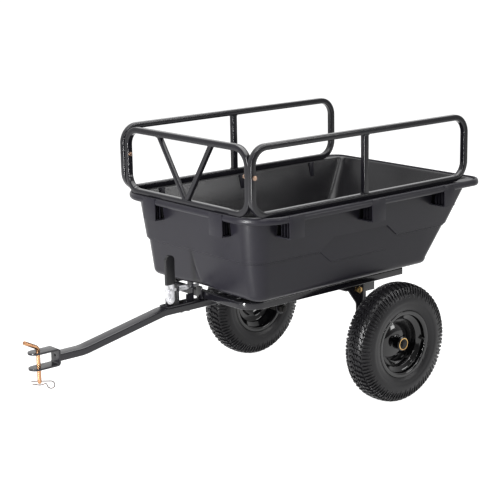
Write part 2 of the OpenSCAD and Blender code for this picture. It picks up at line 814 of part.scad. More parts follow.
// Pressed steel rim: flanges, bead seats, drop well, dished disc and hub tube
module rim() {
    t = 3;
    well = 84;
    difference() {
        union() {
            turn_x([
                [-44, 114], [-41, 114], [-40.5, 102], [-24, 102], [-16, well], [16, well], [24, 102],
                [40.5, 102], [41, 114], [44, 114], [44, 102 - t], [26, 102 - t],
                [18, well - t], [-18, well - t],
                [-26, 102 - t], [-44, 102 - t]
            ]);
            turn_x([[-6, well - t / 2], [-6 - t, well - t / 2], [-6 - t, 62], [4, 40], [4, 20], [4 + t, 20],
                [4 + t, 41], [-6 + t / 2, 63]]);
            turn_x([[-hub_half, 17.5], [hub_half, 17.5], [hub_half, 21.5], [-hub_half, 21.5]]);
        }
        translate([10, 93, 0]) rod_x(0, 60, 4.1);
    }
}

module hub_bearings() {
    for (turn = [0, 180]) rotate([0, 0, turn]) turn_x([
        [hub_half - 12, axle_d / 2 + 0.05], [hub_half + 1.5, axle_d / 2 + 0.05], [hub_half + 1.5, 20.5],
        [hub_half, 20.5], [hub_half, 17.5], [hub_half - 12, 17.5]
    ]);
}

module valve() {
    translate([0, 93, 0]) {
        rod_x(13, 38, 4);
        rod_x(38, 46, 3);
        translate([13, 0, 0]) rotate([-90, 0, 0]) cylinder(h = 13.9, r = 4.5);
        translate([13, 0, 0]) sphere(4.5);
    }
}

module tyre_left() { color([0.08, 0.08, 0.08]) wheel_place(1) tyre(); }
module tyre_right() { color([0.08, 0.08, 0.08]) wheel_place(-1) tyre(); }
module inner_tube_left() { color([0.15, 0.15, 0.15]) wheel_place(1) inner_tube(); }
module inner_tube_right() { color([0.15, 0.15, 0.15]) wheel_place(-1) inner_tube(); }
module rim_left() { color([0.03, 0.03, 0.03]) wheel_place(1) rim(); }
module rim_right() { color([0.03, 0.03, 0.03]) wheel_place(-1) rim(); }
module hub_bearings_left() { color([0.80, 0.66, 0.35]) wheel_place(1) hub_bearings(); }
module hub_bearings_right() { color([0.80, 0.66, 0.35]) wheel_place(-1) hub_bearings(); }
module valve_left() { color([0.10, 0.10, 0.10]) wheel_place(1) valve(); }
module valve_right() { color([0.10, 0.10, 0.10]) wheel_place(-1) valve(); }

bin();
bin_frame();
pivot_beam();
front_cross_member();
rear_cross_member();
pivot_hanger_left();
pivot_hanger_right();
pivot_bolts();
pivot_washers();
pivot_nuts();
bin_bolts();
latch_keeper();
side_rack_left();
side_rack_right();
front_rack();
front_brace();
rack_corner_bolts();
rack_corner_nuts();
rack_screws();
drawbar();
hitch_clevis();
cross_tube();
gusset_plate();
gusset_bolts();
axle_leg_left();
axle_leg_right();
stub_axle_left();
stub_axle_right();
axle_nuts();
axle_spacers();
axle_clips();
latch_bracket();
latch_bracket_bolts();
rest_pad();
latch_pivot_bolt();
latch_lever();
lever_grip();
latch_rod();
latch_cross_bolt();
latch_spring();
hitch_pin();
r_clip();
tyre_left();
inner_tube_left();
rim_left();
hub_bearings_left();
valve_left();
tyre_right();
inner_tube_right();
rim_right();
hub_bearings_right();
valve_right();
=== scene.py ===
"""Looks of the tow behind cart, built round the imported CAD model.

Lengths in the shape code are in millimetres and become metres when a mesh is made.
Frame: +X is the cart's left side, -Y the hitch end, +Z up, with the origin on the ground.
"""
import json
import math

import bmesh
import bpy
from mathutils import Matrix, Vector

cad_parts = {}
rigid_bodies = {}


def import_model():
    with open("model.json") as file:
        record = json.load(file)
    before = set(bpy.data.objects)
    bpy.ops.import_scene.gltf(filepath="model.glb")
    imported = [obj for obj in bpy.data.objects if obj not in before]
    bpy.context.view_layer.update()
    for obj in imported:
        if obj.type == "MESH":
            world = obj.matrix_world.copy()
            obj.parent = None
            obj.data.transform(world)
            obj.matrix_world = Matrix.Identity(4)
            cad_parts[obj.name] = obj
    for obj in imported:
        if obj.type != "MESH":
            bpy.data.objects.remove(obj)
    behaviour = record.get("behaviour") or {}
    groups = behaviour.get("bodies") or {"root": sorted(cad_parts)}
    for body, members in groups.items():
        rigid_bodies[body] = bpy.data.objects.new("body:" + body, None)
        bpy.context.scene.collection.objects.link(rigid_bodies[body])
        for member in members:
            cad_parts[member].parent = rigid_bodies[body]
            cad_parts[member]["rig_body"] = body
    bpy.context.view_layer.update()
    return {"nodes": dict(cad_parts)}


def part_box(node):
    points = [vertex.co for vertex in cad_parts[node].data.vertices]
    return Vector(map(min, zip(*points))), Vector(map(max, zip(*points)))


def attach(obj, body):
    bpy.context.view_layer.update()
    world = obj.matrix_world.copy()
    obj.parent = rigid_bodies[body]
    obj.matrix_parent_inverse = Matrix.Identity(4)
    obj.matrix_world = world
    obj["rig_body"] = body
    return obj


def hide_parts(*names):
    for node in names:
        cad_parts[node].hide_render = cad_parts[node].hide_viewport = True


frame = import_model()
MM = 0.001


def node_box(node):
    """Lowest and highest corner of a CAD node, in millimetres."""
    low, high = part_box(node)
    return low / MM, high / MM


tyre_low, tyre_high = node_box("tyre_left")
WHEEL = (tyre_low + tyre_high) / 2
AXLE_Y = WHEEL.y

# ---------- materials ----------


def grey(value):
    return (value, value, value, 1)


def surface(name, color, roughness, metallic=0.0, mottle=0.12, mottle_scale=14.0, rough_spread=0.06,
            grain=0.0, grain_scale=900.0, specular=0.5, second=None, stretch=(1, 1, 1)):
    """A procedural finish: slow colour variation, uneven gloss and a fine surface grain."""
    mat = bpy.data.materials.new(name)
    mat.use_nodes = True
    nodes, links = mat.node_tree.nodes, mat.node_tree.links
    shader = nodes["Principled BSDF"]
    shader.inputs["Metallic"].default_value = metallic
    shader.inputs["Specular IOR Level"].default_value = specular
    place = nodes.new("ShaderNodeTexCoord")
    scale = nodes.new("ShaderNodeMapping")
    scale.inputs["Scale"].default_value = stretch
    links.new(place.outputs["Object"], scale.inputs["Vector"])
    cloud = nodes.new("ShaderNodeTexNoise")
    cloud.inputs["Scale"].default_value = mottle_scale
    cloud.inputs["Detail"].default_value = 5
    links.new(scale.outputs["Vector"], cloud.inputs["Vector"])
    ramp = nodes.new("ShaderNodeValToRGB")
    dark = [c * (1 - mottle) for c in color]
    light = [c * (1 + mottle) for c in (second or color)]
    ramp.color_ramp.elements[0].position = 0.3
    ramp.color_ramp.elements[1].position = 0.7
    ramp.color_ramp.elements[0].color = (*dark, 1)
    ramp.color_ramp.elements[1].color = (*light, 1)
    links.new(cloud.outputs["Fac"], ramp.inputs["Fac"])
    links.new(ramp.outputs["Color"], shader.inputs["Base Color"])
    gloss = nodes.new("ShaderNodeMapRange")
    gloss.inputs["To Min"].default_value = roughness - rough_spread
    gloss.inputs["To Max"].default_value = roughness + rough_spread
    links.new(cloud.outputs["Fac"], gloss.inputs["Value"])
    links.new(gloss.outputs["Result"], shader.inputs["Roughness"])
    if grain > 0:
        fine = nodes.new("ShaderNodeTexNoise")
        fine.inputs["Scale"].default_value = grain_scale
        fine.inputs["Detail"].default_value = 3
        links.new(scale.outputs["Vector"], fine.inputs["Vector"])
        bump = nodes.new("ShaderNodeBump")
        bump.inputs["Strength"].default_value = grain
        bump.inputs["Distance"].default_value = 0.0006
        links.new(fine.outputs["Fac"], bump.inputs["Height"])
        links.new(bump.outputs["Normal"], shader.inputs["Normal"])
    return mat


bin_plastic = surface("bin_plastic", (0.0080, 0.0075, 0.0105), 0.32, mottle=0.05, grain=0.2,
                      specular=0.20)
# the inside is the same plastic with a darker base colour: painted shade for the shadowed inside of the
# bin; its roughness and specular are finish
bin_inside_painted_shade = surface("bin_inside_painted_shade", (0.0060, 0.0058, 0.0068), 0.24, mottle=0.08, grain=0.15,
                     specular=0.40)
# near-black material for plates inside the lugs: painted shade, not the plastic's own colour
lug_painted_shade = surface("lug_painted_shade", (0.0012, 0.0012, 0.0014), 0.6, mottle=0.1, grain=0.2,
                     specular=0.08)
coat = surface("black_coat", (0.0040, 0.0038, 0.0052), 0.15, mottle=0.08, grain=0.12, grain_scale=500,
               specular=0.38)
rim_paint = surface("rim_paint", (0.0015, 0.0015, 0.0018), 0.09, mottle=0.05, rough_spread=0.02,
                    specular=0.5)
tread_rubber = surface("tyre_rubber", (0.0042, 0.0040, 0.0048), 0.32, mottle=0.15, grain=0.3,
                       grain_scale=420, specular=0.25)
rubber = surface("rubber", (0.006, 0.006, 0.006), 0.6, mottle=0.1, grain=0.4, specular=0.3)
vinyl = surface("vinyl_grip", (0.0032, 0.0032, 0.0038), 0.30, mottle=0.1, grain=0.15, grain_scale=300,
                specular=0.35)
bright_zinc = surface("bright_zinc", (0.66, 0.66, 0.68), 0.40, metallic=1, mottle=0.10, mottle_scale=60,
                      grain=0.25, grain_scale=260, stretch=(1, 1, 0.25))
dull_zinc = surface("dull_zinc", (0.10, 0.10, 0.105), 0.40, metallic=1, mottle=0.15, mottle_scale=70,
                    grain=0.25)
gold_zinc = surface("gold_zinc", (0.42, 0.24, 0.09), 0.28, metallic=1, mottle=0.08, mottle_scale=45,
                    second=(0.52, 0.36, 0.15), grain=0.15)
rose_zinc = surface("rose_zinc", (0.34, 0.23, 0.17), 0.30, metallic=1, mottle=0.10, mottle_scale=60,
                    grain=0.15)
pin_zinc = surface("pin_zinc", (0.40, 0.19, 0.11), 0.26, metallic=1, mottle=0.05, mottle_scale=40,
                   second=(0.46, 0.27, 0.13), grain=0.15)
clip_wire = surface("clip_wire", (0.035, 0.020, 0.016), 0.30, metallic=1, mottle=0.3, mottle_scale=80)
steel = surface("axle_steel", (0.008, 0.0075, 0.007), 0.42, metallic=0.4, mottle=0.15, mottle_scale=70,
                grain=0.3, specular=0.25)
black_plug = surface("plug_plastic", (0.004, 0.004, 0.004), 0.5, mottle=0.1, grain=0.3, specular=0.3)

# ---------- mesh tools ----------


def make_object(name, verts, faces, material, body, replaces=(), smooth_angle=38.0):
    """A piece from points in millimetres. Edges sharper than smooth_angle stay crisp."""
    mesh = bpy.data.meshes.new(name)
    mesh.from_pydata([(x * MM, y * MM, z * MM) for x, y, z in verts], [], faces)
    mesh.validate()
    work = bmesh.new()
    work.from_mesh(mesh)
    bmesh.ops.recalc_face_normals(work, faces=work.faces)
    work.to_mesh(mesh)
    work.free()
    return place_mesh(name, mesh, material, body, replaces, smooth_angle)


def place_mesh(name, mesh, material, body, replaces=(), smooth_angle=38.0):
    """Puts a mesh in the scene, riding a body and the nodes it stands for."""
    for face in mesh.polygons:
        face.use_smooth = True
    mesh.set_sharp_from_angle(angle=math.radians(smooth_angle))
    piece = bpy.data.objects.new(name, mesh)
    bpy.context.scene.collection.objects.link(piece)
    mesh.materials.append(material)
    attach(piece, body)
    if replaces:
        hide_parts(*replaces)
    return piece


def join_parts(parts):
    """One list of points and faces from several."""
    verts, faces = [], []
    for part_verts, part_faces in parts:
        start = len(verts)
        verts.extend(part_verts)
        faces.extend([tuple(i + start for i in face) for face in part_faces])
    return verts, faces


def moved(part, dx=0.0, dy=0.0, dz=0.0, flip_x=False):
    """A copy of a part shifted by dx, dy, dz, and mirrored across X = 0 if flip_x."""
    verts, faces = part
    sign = -1 if flip_x else 1
    out = [(sign * (x + dx), y + dy, z + dz) for x, y, z in verts]
    return out, [tuple(reversed(face)) for face in faces] if flip_x else faces


def bevel_part(part, width, segments=2, angle=30.0):
    """The part with its sharp edges rounded."""
    verts, faces = part
    work = bmesh.new()
    made = [work.verts.new(v) for v in verts]
    for face in faces:
        work.faces.new([made[i] for i in face])
    bmesh.ops.recalc_face_normals(work, faces=work.faces)
    round_edges(work, width, segments, angle)
    work.verts.index_update()
    out = [tuple(v.co) for v in work.verts], [tuple(v.index for v in f.verts) for f in work.faces]
    work.free()
    return out


def round_edges(work, width, segments, angle):
    """Bevels every edge that is sharper than angle degrees."""
    limit = math.radians(angle)
    sharp = [e for e in work.edges if len(e.link_faces) == 2 and e.calc_face_angle(0) > limit]
    bmesh.ops.bevel(work, geom=sharp, offset=width, segments=segments, profile=0.6,
                    affect="EDGES", clamp_overlap=True)


def box_part(x0, y0, z0, x1, y1, z1, width=1.0, segments=2):
    """A box with its edges rounded by width."""
    verts = [(x, y, z) for x in (x0, x1) for y in (y0, y1) for z in (z0, z1)]
    faces = [(0, 1, 3, 2), (4, 6, 7, 5), (0, 4, 5, 1), (2, 3, 7, 6), (0, 2, 6, 4), (1, 5, 7, 3)]
    return bevel_part((verts, faces), width, segments)


def softened(node, material, width=0.8, segments=2, angle=30.0):
    """Stands for a CAD node: the same shape with its edges rounded, as the real part's are."""
    source = frame["nodes"][node]
    work = bmesh.new()
    work.from_mesh(source.data)
    bmesh.ops.remove_doubles(work, verts=work.verts, dist=1e-6)
    bmesh.ops.dissolve_limit(work, angle_limit=math.radians(0.6), verts=work.verts, edges=work.edges)
    bmesh.ops.recalc_face_normals(work, faces=work.faces)
    round_edges(work, width * MM, segments, angle)
    mesh = bpy.data.meshes.new(node + "_look")
    work.to_mesh(mesh)
    work.free()
    return place_mesh(node + "_look", mesh, material, source["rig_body"], (node,), 34)


def ring_of(points, centre, side, up):
    """Places flat (a, b) points in space: a along side and b along up."""
    return [tuple(centre + side * a + up * b) for a, b in points]


def bridge(rings, closed=False, caps=True):
    """Points and faces of a skin over rings with the same number of points."""
    count = len(rings[0])
    verts = [v for ring in rings for v in ring]
    faces = []
    spans = len(rings) if closed else len(rings) - 1
    for r in range(spans):
        a, b = r * count, ((r + 1) % len(rings)) * count
        for i in range(count):
            j = (i + 1) % count
            faces.append((a + i, a + j, b + j, b + i))
    if caps and not closed:
        faces.append(tuple(reversed(range(count))))
        faces.append(tuple(range((len(rings) - 1) * count, len(rings) * count)))
    return verts, faces


def rounded_square(width, height, radius, steps=4):
    """Outline of a rounded rectangle round its own middle."""
    points = []
    for quarter, (sx, sy) in enumerate(((1, 1), (-1, 1), (-1, -1), (1, -1))):
        cx, cy = sx * (width / 2 - radius), sy * (height / 2 - radius)
        for k in range(steps + 1):
            a = math.radians(90 * quarter + 90 * k / steps)
            points.append((cx + radius * math.cos(a), cy + radius * math.sin(a)))
    return points


def tube_part(path, normal, width, height, radius=3.0, closed=False):
    """Square tube along a path in a plane. height lies along the plane's normal."""
    normal = Vector(normal).normalized()
    path = [Vector(p) for p in path]
    outline = rounded_square(width, height, radius)
    rings = []
    for i, p in enumerate(path):
        before = path[i - 1] if (i > 0 or closed) else p
        after = path[(i + 1) % len(path)] if (i < len(path) - 1 or closed) else p
        a, b = p - before, after - p
        a = a.normalized() if a.length > 0 else b.normalized()
        b = b.normalized() if b.length > 0 else a
        along = (a + b).normalized()
        stretch = 1 / max(0.5, along.dot(a))
        side = along.cross(normal).normalized()
        rings.append(ring_of([(x * stretch, y) for x, y in outline], p, side, normal))
    return bridge(rings, closed)


def wire_part(path, radii, sides=16, closed=False):
    """Round bar along any path. radii is one radius or one for each point."""
    path = [Vector(p) for p in path]
    if not hasattr(radii, "__len__"):
        radii = [radii] * len(path)
    along = [(path[min(i + 1, len(path) - 1)] - path[max(i - 1, 0)]).normalized() for i in range(len(path))]
    up = along[0].orthogonal().normalized()
    turns = [2 * math.pi * k / sides for k in range(sides)]
    rings = []
    for p, t, r in zip(path, along, radii):
        up = (up - t * up.dot(t)).normalized()
        side = t.cross(up)
        rings.append(ring_of([(r * math.cos(a), r * math.sin(a)) for a in turns], p, side, up))
    return bridge(rings, closed)


def arc_points(centre, u, v, radius, start, end, steps):
    """Points on an arc from start to end degrees, where 0 lies along u and 90 along v."""
    centre, u, v = Vector(centre), Vector(u), Vector(v)
    out = []
    for k in range(steps + 1):
        a = math.radians(start + (end - start) * k / steps)
        out.append(centre + u * (radius * math.cos(a)) + v * (radius * math.sin(a)))
    return out


def lathe_part(profile, steps, centre):
    """Turns a closed loop of (x, r) points about the X axis through centre."""
    rings = []
    for k in range(steps):
        a = 2 * math.pi * k / steps
        rings.append([
            (centre[0] + x, centre[1] + r * math.cos(a), centre[2] + r * math.sin(a)) for x, r in profile
        ])
    return bridge(rings, closed=True)


def lerp(a, b, t):
    return a + (b - a) * t


# ---------- bin ----------

# Wall sections: height, then half width, front, back, front and rear corner radius (y from the axle)
LOW_BOTTOM = (438, (287, -530, 256, 50, 38))
LOW_TOP = (540, (293, -546, 336, 60, 42))
HIGH_BOTTOM = (548, (300, -553, 345, 62, 42))
HIGH_TOP = (698, (322, -572, 423, 80, 26))
# The rim's outline, without a height
RIM = (376, -600, 435, 136, 56)
FLANGE = 698
STEP_LOW, STEP_HIGH = 541, 547
# Rolled lip from the flange outward, down and back under it: distance in from the rim's edge, height
LIP = [(26, 697.4), (23.5, 694.6), (21, 692.6), (18.6, 692.4), (16.6, 694.4), (14.8, 697.6), (12.6, 700.4),
       (10.4, 701.8), (8.2, 702.3), (6.0, 701.9), (3.9, 700.4), (2.2, 698.0), (0.9, 695.0), (0.2, 691.6),
       (0.1, 688.6), (0.6, 685.6), (1.9, 682.6), (3.8, 680.6), (5.6, 680.0), (7.2, 681.0), (8.4, 684),
       (9.4, 690), (11, 693.6)]
PANEL_Y = (-268, -219, 28, 76)
PANEL_Z = (502, 586)
SIDE_LUGS = ((-470, -410), (-114, -54), (229, 279))
FRONT_LUGS = ((-206, -141), (141, 206))
CREASE = {"flat_a": -14, "edge_a": -4, "crease": 0, "edge_b": 4, "flat_b": 14}
SIDE_YS = [-470, -440, -360, -268, -219, -120, -40, 28, 76, 150, 205]


def between(lower, upper, z):
    t = (z - lower[0]) / (upper[0] - lower[0])
    return tuple(lerp(a, b, t) for a, b in zip(lower[1], upper[1]))


def low_wall(z):
    return between(LOW_BOTTOM, LOW_TOP, z)


def high_wall(z):
    return between(HIGH_BOTTOM, HIGH_TOP, z)


def mid_wall(z):
    low, high = low_wall(544), high_wall(544)
    slope = [(b - a) / (LOW_TOP[0] - LOW_BOTTOM[0]) for a, b in zip(LOW_BOTTOM[1], LOW_TOP[1])]
    return tuple((a + b) / 2 + s * (z - 544) for a, b, s in zip(low, high, slope))


def inset(section, d):
    half, front, back, r_front, r_back = section
    return half - d, front + d, back - d, max(2, r_front - d), max(2, r_back - d)


def lip_section(d):
    """The rim's outline moved in by d. The lip is narrower across the back."""
    half, front, back, r_front, r_back = RIM
    return half - d, front + d, back - 0.42 * d, r_front - d, r_back - 0.7 * d


def corner_column(sx, at_front, angle):
    c, s = math.cos(math.radians(angle)), math.sin(math.radians(angle))

    def place(section):
        half, front, back, r_front, r_back = section
        r = r_front if at_front else r_back
        y = front + r if at_front else back - r
        return sx * (half - r) + r * c, AXLE_Y + y + r * s
    return place


def side_column(sx, y):
    return lambda section: (sx * section[0], AXLE_Y + y)


def back_column(x):
    return lambda section: (x, AXLE_Y + section[2])


def bin_columns():
    """The columns round the bin as (kind, place along it, function from section to point)."""
    columns = []
    for x in (-180, -115, -80, -48, *CREASE, 45, 80, 115, 180):
        columns.append(("front", x, None))
    for k in range(13):
        columns.append(("corner", 0, corner_column(1, True, -90 + 7.5 * k)))
    for y in SIDE_YS:
        columns.append(("side", y, side_column(1, y)))
    for k in range(10):
        columns.append(("corner", 0, corner_column(1, False, 10 * k)))
    for x in (150, 0, -150):
        columns.append(("back", x, back_column(x)))
    for k in range(10):
        columns.append(("corner", 0, corner_column(-1, False, 90 + 10 * k)))
    for y in reversed(SIDE_YS):
        columns.append(("side", y, side_column(-1, y)))
    for k in range(13):
        columns.append(("corner", 0, corner_column(-1, True, 180 + 7.5 * k)))
    return columns


def along_panel(y, rest, panel):
    """Height of a step line: it leaves the ledge to run round the raised panel."""
    y0, y1, y2, y3 = PANEL_Y
    if y <= y0 or y >= y3:
        return rest
    if y < y1:
        return lerp(rest, panel, (y - y0) / (y1 - y0))
    if y > y2:
        return lerp(panel, rest, (y - y2) / (y3 - y2))
    return panel


def upper_step(kind, at):
    return along_panel(at, STEP_HIGH, PANEL_Z[1]) if kind == "side" else STEP_HIGH


def lower_step(kind, at):
    return along_panel(at, STEP_LOW, PANEL_Z[0]) if kind == "side" else STEP_LOW


def crease_x(z):
    """The crease in the front wall leans: its place at height z."""
    return -24 + 23 * min(1, max(0, (514 - z) / 74))


def bin_ring(columns, height, section, depth=0.0, arch=0.0):
    """One ring of the bin. height is a number or a function of (kind, place along it)."""
    ring = []
    for kind, at, place in columns:
        z = height(kind, at) if callable(height) else height
        across = at if kind == "front" else 0
        if isinstance(at, str):
            across = crease_x(z) + CREASE[at]
        if arch and kind == "front" and abs(across) < 118:
            z += arch * (0.5 + 0.5 * math.cos(math.pi * across / 118))
        s = section(z)
        if kind == "front":
            x, y = across, AXLE_Y + s[1] + (depth if at == "crease" else 0)
        else:
            x, y = place(s)
        ring.append((x, y, z))
    return ring


def fixed(section):
    return lambda z: section


def build_bin():
    columns = bin_columns()
    wall = 4
    rings = []
    # inside, from the floor up
    floor = 421
    for k in range(6):
        a = math.radians(90 * k / 5)
        z = floor + 18 * (1 - math.cos(a))
        rings.append(bin_ring(columns, z, fixed(inset(low_wall(438), wall + 18 * (1 - math.sin(a))))))
    for z in (460, 500, STEP_LOW - 2):
        rings.append(bin_ring(columns, z, lambda h: inset(low_wall(h), wall)))
    # the wall is thicker all round at the panel's height, because the panel is sunk into it
    for z, extra in ((STEP_HIGH + 1, 4), (600, 4), (660, 0), (690, 0), (695.5, 0)):
        rings.append(bin_ring(columns, z, fixed(inset(high_wall(z), wall + extra))))
    rings.append(bin_ring(columns, 697.4, fixed(inset(high_wall(698), 3.2))))
    rings.append(bin_ring(columns, FLANGE, fixed(inset(high_wall(698), 1.4))))
    inner_count = len(rings)
    # flange and rolled lip
    for d, z in LIP:
        rings.append(bin_ring(columns, z, fixed(lip_section(d))))
    # outside wall, from the flange down
    rings.append(bin_ring(columns, 694, high_wall))
    for z in (690, 650, 605):
        rings.append(bin_ring(columns, z, high_wall))
    edge = 0.9
    rings.append(bin_ring(columns, lambda k, a: upper_step(k, a) + edge, high_wall))
    rings.append(bin_ring(columns, lambda k, a: upper_step(k, a) - edge, mid_wall))
    rings.append(bin_ring(columns, lambda k, a: lower_step(k, a) + edge, mid_wall))
    rings.append(bin_ring(columns, lambda k, a: lower_step(k, a) - edge, low_wall))
    for z, depth in ((494, 0.9), (478, 1.1), (460, 1.1), (446, 0.8), (438, 0.5)):
        rings.append(bin_ring(columns, z, low_wall, depth, arch=7 * (478 - z) / 40 if z < 478 else 0))
    for k in range(1, 7):
        a = math.radians(90 * k / 6)
        z = 438 - 22 * math.sin(a)
        rings.append(bin_ring(columns, z, fixed(inset(low_wall(438), 22 * (1 - math.cos(a)))), arch=7))
    verts, faces = bridge(rings)
    count = len(columns)
    material_split = inner_count * count
    piece = make_object("bin_shell", verts, faces, bin_plastic, "tilting_bin", ("bin",), 28)
    # inside faces take the darker copy of the plastic, which paints shade into the bin
    piece.data.materials.append(bin_inside_painted_shade)
    for face in piece.data.polygons:
        if max(face.vertices) < material_split:
            face.material_index = 1
    return piece


def slab(a, b, thick, start, end, across):
    """A slab from (depth, height) a to b, thick in depth, from start to end. across says which wall."""
    flat = [a, b, (b[0] - thick, b[1]), (a[0] - thick, a[1])]
    if across == "side":
        verts = [(depth, at, z) for at in (start, end) for depth, z in flat]
    else:
        verts = [(at, depth, z) for at in (start, end) for depth, z in flat]
    return verts, [(0, 1, 2, 3), (7, 6, 5, 4), (0, 4, 5, 1), (1, 5, 6, 2), (2, 6, 7, 3), (3, 7, 4, 0)]


def build_lug_shade_liners():
    """Dark plates laid over the wall behind each lug: painted shade for the shadowed hollow inside the lug.
    """
    low, high = 633, 692
    gap, thick = 2.4, 4
    foot, head = high_wall(low), high_wall(high)
    parts = []
    for y0, y1 in SIDE_LUGS:
        plate = slab((foot[0] + gap, low), (head[0] + gap, high), thick, y0 + AXLE_Y, y1 + AXLE_Y, "side")
        for flip in (False, True):
            parts.append(moved(plate, flip_x=flip))
    for x0, x1 in FRONT_LUGS:
        low_y, high_y = AXLE_Y + foot[1] - gap, AXLE_Y + head[1] - gap
        parts.append(slab((low_y, low), (high_y, high), -thick, x0, x1, "front"))
    verts, faces = join_parts(parts)
    # these plates carry the painted shade of the lug hollows
    make_object("bin_lug_shade_liners", verts, faces, lug_painted_shade, "tilting_bin")


def build_lugs():
    """Hollow blocks under the rim with a web in the middle, open at both ends."""
    low, top, wall = 628, 702.4, 4
    web_half, web_top = 8, 695
    baffle, baffle_inset, baffle_top = 2.4, 5, 694
    root, face_in, face_out = 308, 372.4, 376.8
    parts = []
    for y0, y1 in SIDE_LUGS:
        y0, y1 = y0 + AXLE_Y, y1 + AXLE_Y
        middle = (y0 + y1) / 2
        blocks = [
            box_part(face_in, y0, low, face_out, y1, top, 1.2),
            box_part(root, y0, low, face_in + 1.6, y1, low + wall, 1.0),
            box_part(root + 1, middle - web_half, low + 2, face_in + 1.6, middle + web_half, web_top, 0.6),
        ]
        for x in (330, 344, 358):
            blocks.append(box_part(x, y0 + baffle_inset, low + 2,
                                   x + baffle, y1 - baffle_inset, baffle_top, 0.4))
        for flip in (False, True):
            parts.extend(moved(block, flip_x=flip) for block in blocks)
    front = AXLE_Y + RIM[1]
    for x0, x1 in FRONT_LUGS:
        middle = (x0 + x1) / 2
        parts.append(box_part(x0, front - 0.8, low, x1, front + 3.6, top, 1.2))
        parts.append(box_part(x0, front + 2, low, x1, front + 40, low + wall, 1.0))
        parts.append(box_part(middle - web_half, front + 2, low + 2,
                              middle + web_half, front + 38, web_top, 0.6))
        for y in (front + 12, front + 23):
            parts.append(box_part(x0 + baffle_inset, y, low + 2,
                                  x1 - baffle_inset, y + baffle, baffle_top, 0.4))
    verts, faces = join_parts(parts)
    return make_object("bin_lugs", verts, faces, bin_plastic, "tilting_bin")


build_bin()
build_lugs()
build_lug_shade_liners()

# ---------- frame under the bin ----------


def loop_path(u0, v0, u1, v1, radius, place, steps=12):
    """Closed rounded rectangle in a plane; place turns (u, v) into a point."""
    points = []
    for cu, cv, start in ((u1 - radius, v1 - radius, 0), (u0 + radius, v1 - radius, 90),
                          (u0 + radius, v0 + radius, 180), (u1 - radius, v0 + radius, 270)):
        for k in range(steps + 1):
            a = math.radians(start + 90 * k / steps)
            points.append(place(cu + radius * math.cos(a), cv + radius * math.sin(a)))
    return points


def build_bin_frame():
    low, high = node_box("bin_frame")
    tube = high.z - low.z
    half = high.x - tube / 2
    front = low.y + tube / 2
    z = (low.z + high.z) / 2
    radius = 66 - tube / 2
    path = [(half, high.y, z), (half, front + radius + 120, z)]
    path += arc_points((half - radius, front + radius, z), (1, 0, 0), (0, -1, 0), radius, 0, 90, 14)
    path += arc_points((radius - half, front + radius, z), (0, -1, 0), (-1, 0, 0), radius, 0, 90, 14)
    path += [(-half, front + radius + 120, z), (-half, high.y, z)]
    verts, faces = tube_part(path, (0, 0, 1), tube, tube, 3.2)
    make_object("bin_frame_look", verts, faces, coat, "tilting_bin", ("bin_frame",))
    plugs = []
    for sx in (-1, 1):
        x = sx * half
        plugs.append(box_part(x - 10, high.y - 4, z - 10, x + 10, high.y + 0.4, z + 10, 1.5))
    verts, faces = join_parts(plugs)
    make_object("frame_plugs", verts, faces, black_plug, "tilting_bin")


build_bin_frame()
for name in ("pivot_beam", "front_cross_member", "rear_cross_member"):
    softened(name, coat, 1.6)
for name in ("pivot_hanger_left", "pivot_hanger_right", "latch_keeper"):
    softened(name, coat, 0.8)

# ---------- rack ----------


def weld_bead(centre, half_u, half_v, u, v, size=1.6):
    """A bead of weld round the foot of a square bar."""
    centre, u, v = Vector(centre), Vector(u), Vector(v)
    points = []
    sides = ((u, v, half_u, half_v), (v, -u, half_v, half_u),
             (-u, -v, half_u, half_v), (-v, u, half_v, half_u))
    for a, b, ha, hb in sides:
        for k in range(9):
            t = -1 + 2 * k / 8
            wobble = 0.25 * math.sin(11 * t + 3 * ha)
            points.append(centre + a * (ha + 0.2 * wobble) + b * (t * hb * 0.97))
    radii = [size * (0.9 + 0.16 * math.sin(1.9 * i)) for i in range(len(points))]
    return wire_part(points + [points[0]], radii + [radii[0]], 8)


RACK_TUBE = 20
RACK_CORNER = 56


def build_side_rack(node):
    low, high = node_box(node)
    tube = RACK_TUBE
    x = (low.x + high.x) / 2
    path = loop_path(low.y + tube / 2, low.z + tube / 2, high.y - tube / 2, high.z - tube / 2, RACK_CORNER,
                     lambda a, b: (x, a, b))
    middle = (low.y + high.y) / 2
    post = [(x, middle, low.z + tube - 2), (x, middle, high.z - tube + 2)]
    parts = [
        tube_part(path, (1, 0, 0), tube, tube, 3.4, closed=True),
        tube_part(post, (1, 0, 0), tube, tube - 0.6, 3.0),
    ]
    for z in (low.z + tube + 0.4, high.z - tube - 0.4):
        parts.append(weld_bead((x, middle, z), tube / 2, tube / 2, (1, 0, 0), (0, 1, 0)))
    verts, faces = join_parts(parts)
    make_object(node + "_look", verts, faces, coat, "tilting_bin", (node,))


def build_front_rack():
    low, high = node_box("front_rack")
    tube = RACK_TUBE
    y = (low.y + high.y) / 2
    path = loop_path(low.x + tube / 2, low.z + tube / 2, high.x - tube / 2, high.z - tube / 2, RACK_CORNER,
                     lambda a, b: (a, y, b))
    verts, faces = tube_part(path, (0, 1, 0), tube, tube, 3.4, closed=True)
    make_object("front_rack_look", verts, faces, coat, "tilting_bin", ("front_rack",))
    b_low, b_high = node_box("front_brace")
    y = (b_low.y + b_high.y) / 2
    parts = []
    for sx in (-1, 1):
        foot = Vector((sx * 6.5, y, b_low.z - 1))
        head = Vector((sx * 135, y, b_high.z + 4))
        parts.append(tube_part([foot, head], (0, 1, 0), 15, 15, 2.6))
        parts.append(weld_bead((sx * 134, y, b_high.z - 0.4), 9, 7.5, (1, 0, 0), (0, 1, 0)))
    parts.append(weld_bead((0, y, b_low.z + 0.8), 14, 7.5, (1, 0, 0), (0, 1, 0)))
    verts, faces = join_parts(parts)
    make_object("front_brace_look", verts, faces, coat, "tilting_bin", ("front_brace",))


